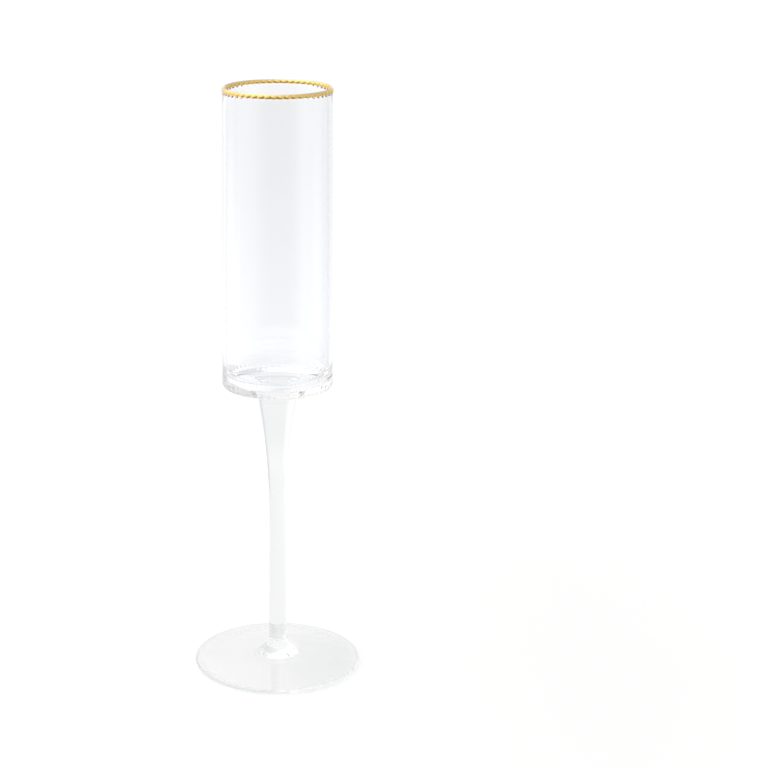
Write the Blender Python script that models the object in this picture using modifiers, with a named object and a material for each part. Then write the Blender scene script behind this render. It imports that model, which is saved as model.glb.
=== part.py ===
"""Champagne flute: a rib-optic glass bowl with a gilded lip, a drawn stem and a round foot.

Metres, +Z up. The origin is the centre of the plane that the foot rests on, and +Z is the
flute's axis. The real glass pieces are fused while hot. Here each one keeps a small gap to the
next, so that every piece is a closed solid of its own.
"""

import math

import bpy

OBJECT_NAME = "champagne_flute"

# Driving dimensions, in metres.
HEIGHT = 0.254
JOINT_GAP = 0.0003

# Bowl: a tall cylinder that narrows very slightly towards the lip.
BOWL_BASE_Z = 0.127
BOWL_BASE_RADIUS = 0.0235
LIP_RADIUS = 0.0227
WALL = 0.0014
BASE_THICKNESS = 0.0016
HEEL_ROUND = 0.0020
FLOOR_ROUND = 0.0090

# Optic ribs: a ripple that runs up the wall, which the inside follows more gently.
RIB_COUNT = 50
INNER_RIB = 0.00008
OUTER_RIB = 0.00012
RIB_END_RADIUS = 0.0125

# Gilding: a thin band that caps the lip.
GILDING_GAP = 0.0001
GILDING_THICKNESS = 0.00015
GILDING_DEPTH_OUTSIDE = 0.0013
GILDING_DEPTH_INSIDE = 0.0012

# Stem: a parabolic flare under the bowl, a waist, and a slightly thicker lower end.
STEM_TOP_RADIUS = 0.0094
STEM_WAIST_RADIUS = 0.0035
STEM_FOOT_RADIUS = 0.0037
STEM_WAIST_Z = 0.070

# Foot: a shallow cone with a rounded edge, a boss for the stem and a hollow underside.
FOOT_RADIUS = 0.0363
FOOT_EDGE = 0.0016
CONE_RISE = 0.0044
BOSS_RADIUS = 0.0115
BOSS_HEIGHT = 0.0055
REST_RING_WIDTH = 0.0028
HOLLOW_DEPTH = 0.0030

# Facets. The bowl and the gilding share their columns, so that their faces stay in line.
RIBBED_STEPS = 2 * RIB_COUNT
STEM_STEPS = 48
FOOT_STEPS = 80
ROUND_STEPS = 4
FLOOR_ROUND_STEPS = 8
EDGE_STEPS = 6
LIP_STEPS = 4
FLARE_STEPS = 8
HOLLOW_STEPS = 4
MERGE_DISTANCE = 0.00001
SHARP_ANGLE = math.radians(35)

# Places that follow from the dimensions above.
FLOOR_Z = BOWL_BASE_Z + BASE_THICKNESS
LIP_ROUND = WALL / 2
LIP_CENTRE_RADIUS = LIP_RADIUS - LIP_ROUND
LIP_CENTRE_Z = HEIGHT - GILDING_THICKNESS - GILDING_GAP - LIP_ROUND
FLOOR_RADIUS = BOWL_BASE_RADIUS - WALL


def arc(centre, radius, start, end, steps):
    """Points (radius, z) on a circle, from one angle to another, in degrees from +X."""
    points = []
    for i in range(steps + 1):
        angle = math.radians(start + (end - start) * i / steps)
        points.append((centre[0] + radius * math.cos(angle), centre[1] + radius * math.sin(angle)))
    return points


def outer_wall_radius(z):
    """The bowl's outer radius at a height, before the ribs."""
    share = (z - BOWL_BASE_Z) / (LIP_CENTRE_Z - BOWL_BASE_Z)
    return BOWL_BASE_RADIUS + (LIP_RADIUS - BOWL_BASE_RADIUS) * share


def rib_crest(radius, z):
    """How far a rib's crest moves a point outwards."""
    across = (radius - outer_wall_radius(z) + WALL) / WALL
    across = min(max(across, 0.0), 1.0)
    crest = OUTER_RIB * across + INNER_RIB * (1.0 - across)
    fade = (radius - RIB_END_RADIUS) / (FLOOR_RADIUS - RIB_END_RADIUS)
    return crest * min(max(fade, 0.0), 1.0)


def bowl_outline():
    """From the middle of the floor, up inside, over the lip, and down to the base's middle."""
    floor_round = (FLOOR_RADIUS - FLOOR_ROUND, FLOOR_Z + FLOOR_ROUND)
    heel_round = (BOWL_BASE_RADIUS - HEEL_ROUND, BOWL_BASE_Z + HEEL_ROUND)
    inside = [(0.0, FLOOR_Z), (RIB_END_RADIUS, FLOOR_Z)]
    inside += arc(floor_round, FLOOR_ROUND, -90, 0, FLOOR_ROUND_STEPS)
    lip = arc((LIP_CENTRE_RADIUS, LIP_CENTRE_Z), LIP_ROUND, 180, 0, LIP_STEPS)
    outside = arc(heel_round, HEEL_ROUND, 0, -90, ROUND_STEPS)
    return inside + lip + outside + [(0.0, BOWL_BASE_Z)]


def gilding_outline():
    """A U-shaped section: over the lip on the outside, and back along the glass."""
    lip = (LIP_CENTRE_RADIUS, LIP_CENTRE_Z)
    glass_side = LIP_ROUND + GILDING_GAP
    open_side = glass_side + GILDING_THICKNESS
    outside_z = LIP_CENTRE_Z - GILDING_DEPTH_OUTSIDE
    inside_z = LIP_CENTRE_Z - GILDING_DEPTH_INSIDE
    over = arc(lip, open_side, 180, 0, LIP_STEPS)
    back = arc(lip, glass_side, 0, 180, LIP_STEPS)
    outside_end = [
        (LIP_CENTRE_RADIUS + open_side, outside_z),
        (LIP_CENTRE_RADIUS + glass_side, outside_z),
    ]
    inside_end = [
        (LIP_CENTRE_RADIUS - glass_side, inside_z),
        (LIP_CENTRE_RADIUS - open_side, inside_z),
    ]
    return over + outside_end + back + inside_end


def stem_outline():
    """From the flat top under the bowl, down the flare and the shank, to the flat lower end."""
    top_z = BOWL_BASE_Z - JOINT_GAP
    end_z = foot_top_z() + JOINT_GAP
    points = [(0.0, top_z)]
    for i in range(FLARE_STEPS + 1):
        share = 1.0 - i / FLARE_STEPS
        radius = STEM_WAIST_RADIUS + (STEM_TOP_RADIUS - STEM_WAIST_RADIUS) * share**2
        points.append((radius, STEM_WAIST_Z + (top_z - STEM_WAIST_Z) * share))
    return points + [(STEM_FOOT_RADIUS, end_z), (0.0, end_z)]


def foot_cone_z(radius):
    """The height of the foot's conical top, without the boss."""
    return FOOT_EDGE + CONE_RISE * (1.0 - radius / FOOT_RADIUS)


def foot_top_z():
    return foot_cone_z(STEM_FOOT_RADIUS) + BOSS_HEIGHT


def foot_outline():
    """From the boss's flat top, down its hollow flank and the cone, round the edge and back under."""
    edge_round = FOOT_EDGE / 2
    rest_outer = FOOT_RADIUS - edge_round
    rest_inner = rest_outer - REST_RING_WIDTH
    points = [(0.0, foot_top_z())]
    for i in range(ROUND_STEPS + 1):
        turn = math.radians(90.0 * (1.0 - i / ROUND_STEPS))
        radius = BOSS_RADIUS - (BOSS_RADIUS - STEM_FOOT_RADIUS) * math.sin(turn)
        points.append((radius, foot_cone_z(radius) + BOSS_HEIGHT * (1.0 - math.cos(turn))))
    points += arc((rest_outer, edge_round), edge_round, 90, -90, EDGE_STEPS)
    for i in range(HOLLOW_STEPS + 1):
        share = 1.0 - i / HOLLOW_STEPS
        points.append((rest_inner * share, HOLLOW_DEPTH * (1.0 - share**2)))
    return points


def turned_mesh(name, outline, steps, closed=False):
    """Turns an outline of (radius, z) points round the flute's axis."""
    profile = bpy.data.meshes.new(name + "_profile")
    edges = [(i, i + 1) for i in range(len(outline) - 1)]
    if closed:
        edges.append((len(outline) - 1, 0))
    profile.from_pydata([(radius, 0.0, z) for radius, z in outline], edges, [])
    blank = bpy.data.objects.new(name + "_profile", profile)
    bpy.context.scene.collection.objects.link(blank)
    screw = blank.modifiers.new("turn", "SCREW")
    screw.steps = steps
    screw.render_steps = steps
    screw.use_merge_vertices = True
    screw.merge_threshold = MERGE_DISTANCE
    depsgraph = bpy.context.evaluated_depsgraph_get()
    mesh = bpy.data.meshes.new_from_object(blank.evaluated_get(depsgraph))
    bpy.data.objects.remove(blank)
    bpy.data.meshes.remove(profile)
    mesh.name = name
    return mesh


def press_ribs(mesh):
    """Moves each point in or out with the wave of the ribs."""
    for vertex in mesh.vertices:
        x, y, z = vertex.co
        radius = math.hypot(x, y)
        if radius > RIB_END_RADIUS:
            wave = math.cos(RIB_COUNT * math.atan2(y, x))
            scale = 1.0 + rib_crest(radius, z) * wave / radius
            vertex.co = (x * scale, y * scale, z)


def material(name, colour, roughness, metallic, transmission):
    made = bpy.data.materials.new(name)
    made.use_nodes = True
    shader = made.node_tree.nodes["Principled BSDF"]
    shader.inputs["Base Color"].default_value = (*colour, 1.0)
    shader.inputs["Roughness"].default_value = roughness
    shader.inputs["Metallic"].default_value = metallic
    shader.inputs["Transmission Weight"].default_value = transmission
    made.diffuse_color = (*colour, 1.0)
    return made


def clear_glass(name):
    return material(name, (0.94, 0.96, 0.97), roughness=0.02, metallic=0.0, transmission=1.0)


def fired_gold(name):
    return material(name, (0.93, 0.68, 0.30), roughness=0.18, metallic=1.0, transmission=0.0)


def place(name, mesh, finish, collection):
    """Makes the named piece from its mesh and its own material."""
    mesh.materials.append(finish)
    mesh.shade_smooth()
    mesh.set_sharp_from_angle(angle=SHARP_ANGLE)
    piece = bpy.data.objects.new(name, mesh)
    collection.objects.link(piece)


def make_bowl(collection):
    mesh = turned_mesh("bowl", bowl_outline(), RIBBED_STEPS)
    press_ribs(mesh)
    place("bowl", mesh, clear_glass("bowl_glass"), collection)


def make_gold_rim(collection):
    mesh = turned_mesh("gold_rim", gilding_outline(), RIBBED_STEPS, closed=True)
    press_ribs(mesh)
    place("gold_rim", mesh, fired_gold("rim_gold"), collection)


def make_stem(collection):
    mesh = turned_mesh("stem", stem_outline(), STEM_STEPS)
    place("stem", mesh, clear_glass("stem_glass"), collection)


def make_foot(collection):
    mesh = turned_mesh("foot", foot_outline(), FOOT_STEPS)
    place("foot", mesh, clear_glass("foot_glass"), collection)


def main():
    for old in list(bpy.data.objects):
        bpy.data.objects.remove(old)
    collection = bpy.data.collections.new(OBJECT_NAME)
    bpy.context.scene.collection.children.link(collection)
    make_bowl(collection)
    make_gold_rim(collection)
    make_stem(collection)
    make_foot(collection)


main()
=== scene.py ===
"""Looks of the champagne flute: clear rib-optic glass, a fired gold lip and a white studio.

Metres, in the CAD model's own frame: the foot stands on z = 0 and +Z is the flute's axis.
"""

import math

import bpy
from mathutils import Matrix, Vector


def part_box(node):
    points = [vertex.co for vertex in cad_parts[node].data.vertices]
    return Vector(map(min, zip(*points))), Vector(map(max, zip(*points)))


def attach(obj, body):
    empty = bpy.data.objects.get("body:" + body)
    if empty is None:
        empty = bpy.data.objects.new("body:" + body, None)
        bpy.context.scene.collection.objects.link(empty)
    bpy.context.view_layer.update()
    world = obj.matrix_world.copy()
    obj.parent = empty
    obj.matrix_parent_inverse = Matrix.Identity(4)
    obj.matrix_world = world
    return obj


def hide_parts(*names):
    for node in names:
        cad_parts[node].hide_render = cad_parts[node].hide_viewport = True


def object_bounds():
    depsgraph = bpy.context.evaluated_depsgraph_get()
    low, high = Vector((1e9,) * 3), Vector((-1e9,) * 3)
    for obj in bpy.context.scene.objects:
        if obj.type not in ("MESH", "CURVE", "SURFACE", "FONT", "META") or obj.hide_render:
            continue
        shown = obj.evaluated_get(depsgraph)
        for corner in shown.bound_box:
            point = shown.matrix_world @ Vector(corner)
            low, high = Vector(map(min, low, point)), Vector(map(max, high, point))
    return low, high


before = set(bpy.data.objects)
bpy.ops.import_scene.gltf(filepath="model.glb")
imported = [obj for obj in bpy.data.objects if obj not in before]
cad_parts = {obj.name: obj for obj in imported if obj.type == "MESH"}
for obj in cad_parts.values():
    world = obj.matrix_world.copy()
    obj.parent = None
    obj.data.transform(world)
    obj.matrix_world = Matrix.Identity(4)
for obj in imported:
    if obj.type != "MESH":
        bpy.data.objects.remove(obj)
cad_lowest, cad_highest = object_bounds()

# Sizes read from the CAD pieces.
BOWL_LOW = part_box("bowl")[0]
STEM_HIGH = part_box("stem")[1]
FOOT_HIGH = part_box("foot")[1]
HEIGHT = cad_highest.z

# Bowl. The wall narrows very slightly towards the lip.
BOWL_BASE_Z = BOWL_LOW.z
BOWL_BASE_RADIUS = 0.0235
LIP_RADIUS = 0.0227
WALL = 0.0014
LIP_HEIGHT = 0.0011
BASE_THICKNESS = 0.0016
HEEL_ROUND = 0.0020
FLOOR_ROUND = 0.0090

# Optic ribs: melted out along the wall, they still show at the lip and outside the heel.
RIB_COUNT = 50
LIP_RIB = 0.00017
LIP_RIB_REACH = 0.0028
HEEL_RIB = 0.00040
HEEL_RIB_FADE = 0.0010
HEEL_RIB_REACH = 4 * HEEL_RIB_FADE

# Gilding: a fired film.
FILM = 0.00004
FILM_GAP = 0.000004
GILDING_DEPTH_OUTSIDE = 0.0017
GILDING_DEPTH_INSIDE = 0.0016

# Stem and foot.
STEM_TOP_RADIUS = STEM_HIGH.x
STEM_WAIST_RADIUS = 0.0035
STEM_FOOT_RADIUS = 0.0037
STEM_WAIST_Z = 0.070
STEM_FILLET = 0.0006
STEM_FILLET_DEPTH = 0.0006
FOOT_RADIUS = FOOT_HIGH.x
FOOT_EDGE = 0.0016
CONE_RISE = 0.0044
BOSS_RADIUS = 0.0115
BOSS_TOP_Z = FOOT_HIGH.z
REST_RING_WIDTH = 0.0028
HOLLOW_DEPTH = 0.0030

# Places that follow from the sizes above.
FLOOR_Z = BOWL_BASE_Z + BASE_THICKNESS
FLOOR_RADIUS = BOWL_BASE_RADIUS - WALL
GLASS_TOP_Z = HEIGHT - FILM - FILM_GAP
LIP_CENTRE_RADIUS = LIP_RADIUS - WALL / 2
LIP_CENTRE_Z = GLASS_TOP_Z - LIP_HEIGHT

# Mesh density: columns round the axis, and rows along each stretch of an outline.
RIBBED_COLUMNS = 12 * RIB_COUNT
STEM_COLUMNS = 128
FOOT_COLUMNS = 256
BASE_ROWS = 12
FLOOR_ROUND_ROWS = 24
WALL_ROWS = 24
RIBBED_LIP_ROWS = 10
LIP_ROWS = 24
GILDING_ROWS = 4
OUTER_WALL_ROWS = 20
RIBBED_HEEL_ROWS = 6
HEEL_ROWS = 12
UNDERSIDE_ROWS = 4
FLARE_ROWS = 48
FLARE_CROWDING = 1.5
SHANK_ROWS = 24
JOINT_ROWS = 2
BOSS_ROWS = 16
CONE_ROWS = 24
FOOT_EDGE_ROWS = 14
HOLLOW_ROWS = 24

SHARP_ANGLE = math.radians(35)
TINY = 1e-6
LEVEL_NORMAL = 0.999
JOINT_SLOT = 1

# Glass. Each piece has a thin and a thick tint, and a darker tint along its skin between two slants:
# partly the glass's own tint, partly painted shade that draws a dark outline at the silhouette.
GLASS_IOR = 1.52
SWELL_SCALE = 60.0
SWELL_STRENGTH = 0.05
SWELL_HEIGHT = 0.0002
BOWL_TINTS_AND_SHADE = ((0.96, 0.968, 0.978), (0.966, 0.973, 0.983), (0.74, 0.75, 0.775))
BOWL_SKIN = (0.52, 0.80)
STEM_TINTS_AND_SHADE = ((0.875, 0.88, 0.885), (0.895, 0.90, 0.905), (0.86, 0.87, 0.89))
STEM_SKIN = (0.70, 0.95)
FOOT_TINTS_AND_SHADE = ((0.945, 0.95, 0.95), (0.953, 0.958, 0.958), (0.89, 0.90, 0.905))
FOOT_SKIN = (0.70, 0.95)
# Painted shade: the foot's glass turns darker towards its rim.
FOOT_EDGE_SHADE = (0.84, 0.86, 0.87)
FOOT_EDGE_SHADE_RADII = (FOOT_RADIUS - FOOT_EDGE, FOOT_RADIUS - FOOT_EDGE / 4)

# Gold.
GOLD_TONES = ((0.80, 0.54, 0.18), (0.91, 0.69, 0.31))
GOLD_ROUGHNESS = (0.06, 0.14)
BRUSH_SCALE = 900.0
BRUSH_DETAIL = 4.0

# Floor: a disk with a faint grey base and a glow, painted light that keeps it white, fills the shadow
# under the flute and is brighter at the left, where the studio light comes from; it fades out into the
# backdrop.
FLOOR_ALBEDO = 0.20
FLOOR_ROUGHNESS = 0.9
FLOOR_DROP = 0.0002
FLOOR_CORNERS = 96
FLOOR_FADE_START = 0.12
FLOOR_REACH = 0.45
GLOW_REACH = 0.14
GLOW_LEFT = 0.83
GLOW_RIGHT = 0.75

# Studio: white all round, with zones that shade or brighten it. Only the camera sees the backdrop.
STUDIO_WHITE = (1.0, 1.0, 1.0)
BACKDROP_WHITE = (1.05, 1.05, 1.05)
# Each zone: azimuth, outer and inner half-widths, (lowest, highest, softness) in degrees, and colour.
STUDIO_ZONES = (
    (180, (80, 50), (-40, -13, 4), (1.11, 1.11, 1.11)),
    (-138, (24, 8), (-22, 8, 5), (1.14, 1.14, 1.14)),
    (-8, (65, 18), (-30, -3, 3), (0.35, 0.34, 0.37)),
    (95, (50, 20), (-30, 35, 6), (0.70, 0.73, 0.78)),
    (110, (8, 4), (-21, -4, 3), (0.45, 0.47, 0.52)),
    (-108, (28, 15), (-22, -11, 4), (1.60, 1.60, 1.60)),
    (-108, (34, 15), (12, 46, 6), (3.20, 3.15, 3.05)),
    (-85, (75, 35), (12, 80, 6), (1.48, 1.45, 1.41)),
    (80, (60, 30), (6, 60, 6), (0.78, 0.78, 0.80)),
    (150, (32, 8), (5, 45, 6), (0.78, 0.79, 0.81)),
)
SOFTBOX_WIDTH = 1.2
SOFTBOX_WATTS = 2.5
SOFTBOX_PLACE = (-0.5, 0.2, 1.6)
SOFTBOX_TILT = -0.3

# Camera.
CAMERA_PLACE = (0.0, -0.8052, 0.3716)
CAMERA_PITCH = 16.866
CAMERA_LENS = 92.68
CAMERA_SENSOR = 36.0
CAMERA_SHIFT = 0.1387
CAMERA_NEAR = 0.05

# Light crosses the glass many times inside the boss and the heel.
LIGHT_BOUNCES = 96


# ---------------------------------------------------------------- outlines

def arc(centre, radius, start, end, steps):
    """Points (radius, z) on a circle, from one angle to another, in degrees from +X."""
    points = []
    for i in range(steps + 1):
        angle = math.radians(start + (end - start) * i / steps)
        points.append((centre[0] + radius * math.cos(angle), centre[1] + radius * math.sin(angle)))
    return points


def lip_arc(clearance, start, end, steps):
    """The lip's oval section, at a distance outside the glass."""
    points = []
    for across, up in arc((0.0, 0.0), 1.0, start, end, steps):
        radius = LIP_CENTRE_RADIUS + (WALL / 2 + clearance) * across
        points.append((radius, LIP_CENTRE_Z + (LIP_HEIGHT + clearance) * up))
    return points


def line(start, end, steps):
    """Points after the start of a straight run, up to and including its end."""
    points = []
    for i in range(1, steps + 1):
        share = i / steps
        points.append((start[0] + (end[0] - start[0]) * share, start[1] + (end[1] - start[1]) * share))
    return points


def rib_depth(radius, z):
    """How far a rib's crest stands out at a place on the bowl."""
    below = GLASS_TOP_Z - z
    rise = eased(below / LIP_HEIGHT)
    fall = eased((LIP_RIB_REACH - below) / (LIP_RIB_REACH - GILDING_DEPTH_OUTSIDE))
    lip = LIP_RIB * rise * fall
    across = clamped((radius - FLOOR_RADIUS) / WALL)
    heel = HEEL_RIB * across * math.exp(-(z - BOWL_BASE_Z) / HEEL_RIB_FADE)
    return lip + heel


def clamped(share):
    return min(max(share, 0.0), 1.0)


def eased(share):
    share = clamped(share)
    return share * share * (3.0 - 2.0 * share)


def ribbed(radius, z, angle):
    """The radius of a bowl point once the ribs are pressed in at that angle."""
    return radius + rib_depth(radius, z) * math.cos(RIB_COUNT * angle)


def plain(radius, z, angle):
    """The radius of a point on a piece without ribs."""
    return radius


def bowl_outline():
    """From the middle of the floor, up inside, over the lip, and down to the base's middle."""
    floor_round = (FLOOR_RADIUS - FLOOR_ROUND, FLOOR_Z + FLOOR_ROUND)
    heel_round = (BOWL_BASE_RADIUS - HEEL_ROUND, BOWL_BASE_Z + HEEL_ROUND)
    ribs_end_z = GLASS_TOP_Z - LIP_RIB_REACH
    heel_ribs_end_z = heel_round[1] + HEEL_RIB_REACH
    points = [(0.0, FLOOR_Z)]
    points += line(points[-1], (floor_round[0], FLOOR_Z), BASE_ROWS)
    points += arc(floor_round, FLOOR_ROUND, -90, 0, FLOOR_ROUND_ROWS)[1:]
    points += line(points[-1], wall_point(ribs_end_z, WALL), WALL_ROWS)
    points += line(points[-1], wall_point(LIP_CENTRE_Z, WALL), RIBBED_LIP_ROWS)
    points += lip_arc(0.0, 180, 0, LIP_ROWS)[1:]
    points += line(points[-1], wall_point(ribs_end_z, 0.0), RIBBED_LIP_ROWS)
    points += line(points[-1], wall_point(heel_ribs_end_z, 0.0), OUTER_WALL_ROWS)
    points += line(points[-1], (BOWL_BASE_RADIUS, heel_round[1]), RIBBED_HEEL_ROWS)
    points += arc(heel_round, HEEL_ROUND, 0, -90, HEEL_ROWS)[1:]
    points += line(points[-1], (joint_radius(), BOWL_BASE_Z), UNDERSIDE_ROWS)
    points += line(points[-1], (0.0, BOWL_BASE_Z), JOINT_ROWS)
    return points


def wall_point(z, inset):
    """A point on the straight wall, at a depth inside its outer surface."""
    share = (z - BOWL_BASE_Z) / (LIP_CENTRE_Z - BOWL_BASE_Z)
    return (BOWL_BASE_RADIUS + (LIP_RADIUS - BOWL_BASE_RADIUS) * share - inset, z)


def joint_radius():
    """The outer radius of the fused joint between the bowl and the stem, with its fillet."""
    return STEM_TOP_RADIUS + STEM_FILLET


def gilding_outline():
    """A U-shaped section: over the lip on the outside, and back along the glass."""
    outside_z = GLASS_TOP_Z - GILDING_DEPTH_OUTSIDE
    inside_z = GLASS_TOP_Z - GILDING_DEPTH_INSIDE
    face = FILM_GAP + FILM
    points = lip_arc(face, 180, 0, LIP_ROWS)
    first = points[0]
    points += line(points[-1], wall_point(outside_z, -face), GILDING_ROWS)
    points += [wall_point(outside_z, -FILM_GAP)]
    points += line(points[-1], wall_point(LIP_CENTRE_Z, -FILM_GAP), GILDING_ROWS)
    points += lip_arc(FILM_GAP, 0, 180, LIP_ROWS)[1:]
    points += line(points[-1], wall_point(inside_z, WALL + FILM_GAP), GILDING_ROWS)
    points += [wall_point(inside_z, WALL + face)]
    points += line(points[-1], first, GILDING_ROWS)[:-1]
    return points


def stem_outline():
    """From the joint under the bowl, round its fillet, down the flare and shank to the foot."""
    points = [(0.0, BOWL_BASE_Z)]
    points += line(points[-1], (joint_radius(), BOWL_BASE_Z), JOINT_ROWS)
    for i in range(1, FLARE_ROWS + 1):
        share = 1.0 - (i / FLARE_ROWS) ** FLARE_CROWDING
        z = STEM_WAIST_Z + (BOWL_BASE_Z - STEM_WAIST_Z) * share
        flare = STEM_WAIST_RADIUS + (STEM_TOP_RADIUS - STEM_WAIST_RADIUS) * share**2
        fillet = STEM_FILLET * math.exp(-(BOWL_BASE_Z - z) / STEM_FILLET_DEPTH)
        points.append((flare + fillet, z))
    points += line(points[-1], (STEM_FOOT_RADIUS, BOSS_TOP_Z), SHANK_ROWS)
    points += line(points[-1], (0.0, BOSS_TOP_Z), JOINT_ROWS)
    return points


def foot_cone_z(radius):
    """The height of the foot's conical top, without the boss."""
    return FOOT_EDGE + CONE_RISE * (1.0 - radius / FOOT_RADIUS)


def foot_outline():
    """From the joint under the stem, down the boss and the cone, round the edge and back under."""
    edge_round = FOOT_EDGE / 2
    rest_outer = FOOT_RADIUS - edge_round
    rest_inner = rest_outer - REST_RING_WIDTH
    boss_height = BOSS_TOP_Z - foot_cone_z(STEM_FOOT_RADIUS)
    points = [(0.0, BOSS_TOP_Z)]
    points += line(points[-1], (STEM_FOOT_RADIUS, BOSS_TOP_Z), JOINT_ROWS)
    for i in range(1, BOSS_ROWS + 1):
        turn = math.radians(90.0 * (1.0 - i / BOSS_ROWS))
        radius = BOSS_RADIUS - (BOSS_RADIUS - STEM_FOOT_RADIUS) * math.sin(turn)
        points.append((radius, foot_cone_z(radius) + boss_height * (1.0 - math.cos(turn))))
    points += line(points[-1], (rest_outer, FOOT_EDGE), CONE_ROWS)
    points += arc((rest_outer, edge_round), edge_round, 90, -90, FOOT_EDGE_ROWS)[1:]
    points += line(points[-1], (rest_inner, 0.0), UNDERSIDE_ROWS)
    for i in range(1, HOLLOW_ROWS + 1):
        share = 1.0 - i / HOLLOW_ROWS
        points.append((rest_inner * share, HOLLOW_DEPTH * (1.0 - share**2)))
    return points


# ---------------------------------------------------------------- meshes

def turned(name, outline, columns, shape=plain, closed=False):
    """Turns an outline of (radius, z) points round the axis and shapes each point by its angle."""
    verts = []
    rings = []
    for radius, z in outline:
        if radius < TINY:
            rings.append([len(verts)] * columns)
            verts.append((0.0, 0.0, z))
            continue
        ring = []
        for column in range(columns):
            angle = 2.0 * math.pi * column / columns
            reach = shape(radius, z, angle)
            ring.append(len(verts))
            verts.append((reach * math.cos(angle), reach * math.sin(angle), z))
        rings.append(ring)
    faces = []
    last = len(rings) if closed else len(rings) - 1
    for row in range(last):
        upper, lower = rings[row], rings[(row + 1) % len(rings)]
        for column in range(columns):
            after = (column + 1) % columns
            corners = (upper[column], lower[column], lower[after], upper[after])
            faces.append(tuple(dict.fromkeys(corners)))
    mesh = bpy.data.meshes.new(name)
    mesh.from_pydata(verts, [], faces)
    mesh.shade_smooth()
    mesh.set_sharp_from_angle(angle=SHARP_ANGLE)
    return mesh


def mark_joints(mesh, height, radius):
    """Gives the flat faces inside a fused joint to the joint's slot."""
    for face in mesh.polygons:
        flat = abs(face.normal.z) > LEVEL_NORMAL
        inside = math.hypot(face.center.x, face.center.y) < radius
        if flat and inside and abs(face.center.z - height) < TINY:
            face.material_index = JOINT_SLOT


def add_piece(name, mesh, materials, node):
    """Adds a piece that takes the place of a CAD node."""
    for material in materials:
        mesh.materials.append(material)
    piece = bpy.data.objects.new(name, mesh)
    bpy.context.scene.collection.objects.link(piece)
    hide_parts(node)
    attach(piece, "root")


# ---------------------------------------------------------------- materials

def node_material(name):
    """A new material, with its nodes, its links and its Principled shader."""
    material = bpy.data.materials.new(name)
    material.use_nodes = True
    nodes = material.node_tree.nodes
    return material, nodes, material.node_tree.links, nodes["Principled BSDF"]


def clear_glass(name, tints_and_shade, skin, edge=None):
    """Clear glass with the faint swell of a blown surface.

    Seen along its skin it has a darker tint: partly the glass's own tint along the longer way through
    it, partly painted shade that draws a dark outline at the silhouette.
    An edge is a colour of painted shade, which darkens the glass towards a rim, and the two radii
    between which it deepens.
    """
    material, nodes, links, shader = node_material(name)
    thin_tint, thick_tint, grazing_tint_and_shade = tints_and_shade
    shader.inputs["Transmission Weight"].default_value = 1.0
    shader.inputs["IOR"].default_value = GLASS_IOR
    shader.inputs["Roughness"].default_value = 0.0
    place = nodes.new("ShaderNodeTexCoord")
    swell = nodes.new("ShaderNodeTexNoise")
    swell.inputs["Scale"].default_value = SWELL_SCALE
    links.new(place.outputs["Object"], swell.inputs["Vector"])
    bump = nodes.new("ShaderNodeBump")
    bump.inputs["Strength"].default_value = SWELL_STRENGTH
    bump.inputs["Distance"].default_value = SWELL_HEIGHT
    links.new(swell.outputs["Fac"], bump.inputs["Height"])
    links.new(bump.outputs["Normal"], shader.inputs["Normal"])
    body = mixed(nodes, links, swell.outputs["Fac"], thin_tint, thick_tint)
    # Painted shade: the glass darkens towards grazing slants, which draws a dark outline at its
    # silhouette.
    slant = nodes.new("ShaderNodeLayerWeight")
    share = smooth_step(nodes, links, slant.outputs["Facing"], *skin)
    colour = mixed(nodes, links, share, body, grazing_tint_and_shade)
    # Painted shade: the glass darkens between the two radii towards the rim.
    if edge:
        edge_shade, edge_radii = edge
        level = nodes.new("ShaderNodeVectorMath")
        level.operation = "MULTIPLY"
        level.inputs[1].default_value = (1.0, 1.0, 0.0)
        links.new(place.outputs["Object"], level.inputs[0])
        radius = nodes.new("ShaderNodeVectorMath")
        radius.operation = "LENGTH"
        links.new(level.outputs["Vector"], radius.inputs[0])
        share = smooth_step(nodes, links, radius.outputs["Value"], *edge_radii)
        colour = mixed(nodes, links, share, colour, edge_shade)
    links.new(colour, shader.inputs["Base Color"])
    return material


def mixed(nodes, links, share, first, second):
    """Mixes two colours, each given as numbers or as a socket, and returns the mix's socket."""
    mix = nodes.new("ShaderNodeMix")
    mix.data_type = "RGBA"
    links.new(share, mix.inputs["Factor"])
    for socket, colour in ((mix.inputs["A"], first), (mix.inputs["B"], second)):
        if isinstance(colour, tuple):
            socket.default_value = (*colour, 1.0)
        else:
            links.new(colour, socket)
    return mix.outputs["Result"]


def smooth_step(nodes, links, value, start, end):
    """A smooth share from 0 to 1 as the value goes from start to end."""
    rising = start < end
    step = nodes.new("ShaderNodeMapRange")
    step.interpolation_type = "SMOOTHSTEP"
    step.inputs["From Min"].default_value = start if rising else end
    step.inputs["From Max"].default_value = end if rising else start
    step.inputs["To Min"].default_value = 0.0 if rising else 1.0
    step.inputs["To Max"].default_value = 1.0 if rising else 0.0
    links.new(value, step.inputs["Value"])
    return step.outputs["Result"]


def fused_joint(name):
    """Inside a fused joint the glass is one body, so light passes straight through."""
    material = bpy.data.materials.new(name)
    material.use_nodes = True
    nodes = material.node_tree.nodes
    nodes.clear()
    clear = nodes.new("ShaderNodeBsdfTransparent")
    output = nodes.new("ShaderNodeOutputMaterial")
    material.node_tree.links.new(clear.outputs["BSDF"], output.inputs["Surface"])
    return material


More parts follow.
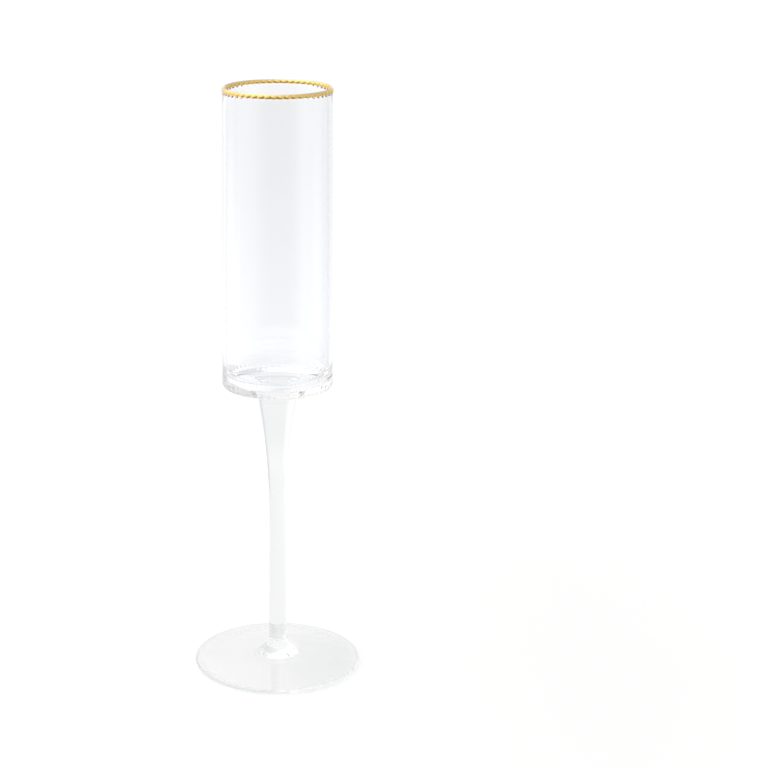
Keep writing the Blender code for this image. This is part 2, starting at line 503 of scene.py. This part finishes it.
def fired_gold(name):
    """Bright fired gold with a faint unevenness from the brush."""
    material, nodes, links, shader = node_material(name)
    shader.inputs["Metallic"].default_value = 1.0
    place = nodes.new("ShaderNodeTexCoord")
    brushed = nodes.new("ShaderNodeTexNoise")
    brushed.inputs["Scale"].default_value = BRUSH_SCALE
    brushed.inputs["Detail"].default_value = BRUSH_DETAIL
    links.new(place.outputs["Object"], brushed.inputs["Vector"])
    tone = mixed(nodes, links, brushed.outputs["Fac"], *GOLD_TONES)
    links.new(tone, shader.inputs["Base Color"])
    rough = nodes.new("ShaderNodeMapRange")
    rough.inputs["To Min"].default_value = GOLD_ROUGHNESS[0]
    rough.inputs["To Max"].default_value = GOLD_ROUGHNESS[1]
    links.new(brushed.outputs["Fac"], rough.inputs["Value"])
    links.new(rough.outputs["Result"], shader.inputs["Roughness"])
    return material


# ---------------------------------------------------------------- pieces

def make_bowl(joint):
    mesh = turned("bowl_glass", bowl_outline(), RIBBED_COLUMNS, ribbed)
    mark_joints(mesh, BOWL_BASE_Z, joint_radius())
    glass = clear_glass("bowl_clear_glass", BOWL_TINTS_AND_SHADE, BOWL_SKIN)
    add_piece("bowl_glass", mesh, [glass, joint], "bowl")


def make_stem(joint):
    mesh = turned("stem_glass", stem_outline(), STEM_COLUMNS)
    mark_joints(mesh, BOWL_BASE_Z, joint_radius())
    mark_joints(mesh, BOSS_TOP_Z, STEM_FOOT_RADIUS)
    glass = clear_glass("stem_clear_glass", STEM_TINTS_AND_SHADE, STEM_SKIN)
    add_piece("stem_glass", mesh, [glass, joint], "stem")


def make_foot(joint):
    mesh = turned("foot_glass", foot_outline(), FOOT_COLUMNS)
    mark_joints(mesh, BOSS_TOP_Z, STEM_FOOT_RADIUS)
    edge = (FOOT_EDGE_SHADE, FOOT_EDGE_SHADE_RADII)
    glass = clear_glass("foot_clear_glass", FOOT_TINTS_AND_SHADE, FOOT_SKIN, edge)
    add_piece("foot_glass", mesh, [glass, joint], "foot")


def make_gilding():
    mesh = turned("rim_gilding", gilding_outline(), RIBBED_COLUMNS, ribbed, closed=True)
    add_piece("rim_gilding", mesh, [fired_gold("bright_fired_gold")], "gold_rim")


# ---------------------------------------------------------------- studio

def make_floor():
    ring = []
    for i in range(FLOOR_CORNERS):
        angle = math.tau * i / FLOOR_CORNERS
        ring.append((FLOOR_REACH * math.cos(angle), FLOOR_REACH * math.sin(angle), 0.0))
    mesh = bpy.data.meshes.new("floor")
    mesh.from_pydata(ring, [], [tuple(range(FLOOR_CORNERS))])
    mesh.materials.append(white_floor("white_floor"))
    floor = bpy.data.objects.new("floor", mesh)
    bpy.context.scene.collection.objects.link(floor)
    floor.location.z = -FLOOR_DROP


def white_floor(name):
    """A faint grey matt that glows white, more at the left: painted light for the studio light from
    the left, which also fills the shadow under the flute. It clears towards the floor's edge.
    """
    material, nodes, links, shader = node_material(name)
    shader.inputs["Base Color"].default_value = (FLOOR_ALBEDO, FLOOR_ALBEDO, FLOOR_ALBEDO, 1.0)
    shader.inputs["Roughness"].default_value = FLOOR_ROUGHNESS
    shader.inputs["Specular IOR Level"].default_value = 0.0
    place = nodes.new("ShaderNodeTexCoord")
    split = nodes.new("ShaderNodeSeparateXYZ")
    links.new(place.outputs["Object"], split.inputs["Vector"])
    # Painted light: the floor's emission, stronger at the left, stands in for the studio light from
    # the left.
    glow = nodes.new("ShaderNodeMapRange")
    glow.inputs["From Min"].default_value = -GLOW_REACH
    glow.inputs["From Max"].default_value = GLOW_REACH
    glow.inputs["To Min"].default_value = GLOW_LEFT
    glow.inputs["To Max"].default_value = GLOW_RIGHT
    links.new(split.outputs["X"], glow.inputs["Value"])
    shader.inputs["Emission Color"].default_value = (1.0, 1.0, 1.0, 1.0)
    links.new(glow.outputs["Result"], shader.inputs["Emission Strength"])
    reach = nodes.new("ShaderNodeVectorMath")
    reach.operation = "LENGTH"
    links.new(place.outputs["Object"], reach.inputs[0])
    fade = smooth_step(nodes, links, reach.outputs["Value"], FLOOR_FADE_START, FLOOR_REACH)
    clear = nodes.new("ShaderNodeBsdfTransparent")
    mix = nodes.new("ShaderNodeMixShader")
    links.new(fade, mix.inputs["Fac"])
    links.new(shader.outputs["BSDF"], mix.inputs[1])
    links.new(clear.outputs["BSDF"], mix.inputs[2])
    links.new(mix.outputs["Shader"], nodes["Material Output"].inputs["Surface"])
    return material


def make_world():
    """The studio as light sees it, and a plain backdrop for what the camera sees directly."""
    world = bpy.data.worlds.new("studio")
    bpy.context.scene.world = world
    world.use_nodes = True
    nodes = world.node_tree.nodes
    links = world.node_tree.links
    nodes.clear()
    output = nodes.new("ShaderNodeOutputWorld")
    background = nodes.new("ShaderNodeBackground")
    links.new(background.outputs["Background"], output.inputs["Surface"])
    place = nodes.new("ShaderNodeTexCoord")
    split = nodes.new("ShaderNodeSeparateXYZ")
    links.new(place.outputs["Generated"], split.inputs["Vector"])
    colour = STUDIO_WHITE
    for azimuth, (wide, narrow), (low, high, soft), tone in STUDIO_ZONES:
        dot = nodes.new("ShaderNodeVectorMath")
        dot.operation = "DOT_PRODUCT"
        links.new(place.outputs["Generated"], dot.inputs[0])
        dot.inputs[1].default_value = aim(azimuth, (low + high) / 2)
        share = smooth_step(nodes, links, dot.outputs["Value"], cosine(wide), cosine(narrow))
        above = smooth_step(nodes, links, split.outputs["Z"], sine(low - soft), sine(low + soft))
        below = smooth_step(nodes, links, split.outputs["Z"], sine(high + soft), sine(high - soft))
        share = product(nodes, links, share, product(nodes, links, above, below))
        colour = mixed(nodes, links, share, colour, tone)
    path = nodes.new("ShaderNodeLightPath")
    seen = mixed(nodes, links, path.outputs["Is Camera Ray"], colour, BACKDROP_WHITE)
    links.new(seen, background.inputs["Color"])


def cosine(degrees):
    return math.cos(math.radians(degrees))


def sine(degrees):
    return math.sin(math.radians(degrees))


def product(nodes, links, first, second):
    """Multiplies two sockets and returns the product's socket."""
    times = nodes.new("ShaderNodeMath")
    times.operation = "MULTIPLY"
    links.new(first, times.inputs[0])
    links.new(second, times.inputs[1])
    return times.outputs["Value"]


def aim(azimuth, elevation):
    """A direction from the flute: azimuth 0 is towards the camera (-Y), 90 is to its right (+X)."""
    a, e = math.radians(azimuth), math.radians(elevation)
    return (math.sin(a) * math.cos(e), -math.cos(a) * math.cos(e), math.sin(e))


def make_lights():
    data = bpy.data.lights.new("overhead_softbox", "AREA")
    data.shape = "DISK"
    data.size = SOFTBOX_WIDTH
    data.energy = SOFTBOX_WATTS
    lamp = bpy.data.objects.new("overhead_softbox", data)
    lamp.location = SOFTBOX_PLACE
    lamp.rotation_euler = (0.0, SOFTBOX_TILT, 0.0)
    bpy.context.scene.collection.objects.link(lamp)


def make_camera():
    data = bpy.data.cameras.new("camera")
    camera = bpy.data.objects.new("camera", data)
    bpy.context.scene.collection.objects.link(camera)
    data.sensor_width = CAMERA_SENSOR
    data.lens = CAMERA_LENS
    data.shift_x = CAMERA_SHIFT
    camera.location = CAMERA_PLACE
    camera.rotation_euler = (math.radians(90.0 - CAMERA_PITCH), 0.0, 0.0)
    data.clip_start = CAMERA_NEAR
    bpy.context.scene.camera = camera


def set_view():
    scene = bpy.context.scene
    scene.view_settings.view_transform = "Standard"
    scene.cycles.max_bounces = LIGHT_BOUNCES
    scene.cycles.transmission_bounces = LIGHT_BOUNCES
    scene.cycles.glossy_bounces = LIGHT_BOUNCES


make_camera()
joint_glass = fused_joint("fused_joint")
make_bowl(joint_glass)
make_stem(joint_glass)
make_foot(joint_glass)
make_gilding()
make_floor()
make_world()
make_lights()
set_view()
